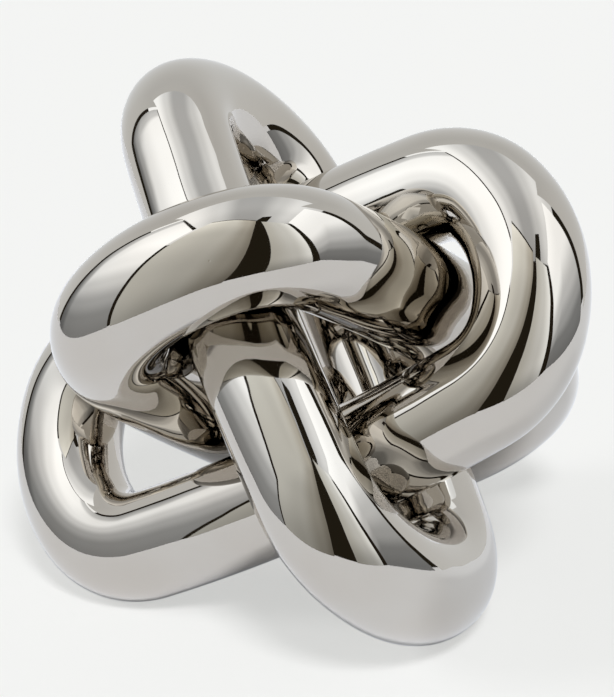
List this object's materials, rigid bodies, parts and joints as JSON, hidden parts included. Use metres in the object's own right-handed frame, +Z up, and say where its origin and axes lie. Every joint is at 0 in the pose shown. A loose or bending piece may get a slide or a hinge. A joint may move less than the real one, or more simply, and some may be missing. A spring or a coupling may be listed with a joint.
{
  "type": "chain link sculpture",
  "caption": "Tabletop sculpture of interlocked oval links of round tube, each passed through the next, in ceramic with a mirror-bright metallic glaze.",
  "frame": {"origin": "on the table, under the middle of the bounding box", "axes": "+Z up; the front of the sculpture, where the upright link's foot comes forward, looks along -Y; +X is to the right as seen from the front"},
  "size_m": [0.214, 0.209, 0.1873],
  "materials": {
    "lustre_glaze": "mirror-bright metallic lustre glaze"
  },
  "bodies": {
    "upright_link": {"upright_link": "lustre_glaze"},
    "right_link": {"right_link": "lustre_glaze"},
    "front_link": {"front_link": "lustre_glaze"}
  },
  "joints": [
    {"name": "right_link_slide", "type": "slide", "parent": "upright_link", "child": "right_link", "axis": [0.8425, -0.2662, 0.4683], "range_m": [0, 0.027]},
    {"name": "front_link_slide", "type": "slide", "parent": "upright_link", "child": "front_link", "axis": [-0.518, -0.6525, 0.5531], "range_m": [0, 0.0245]}
  ]
}
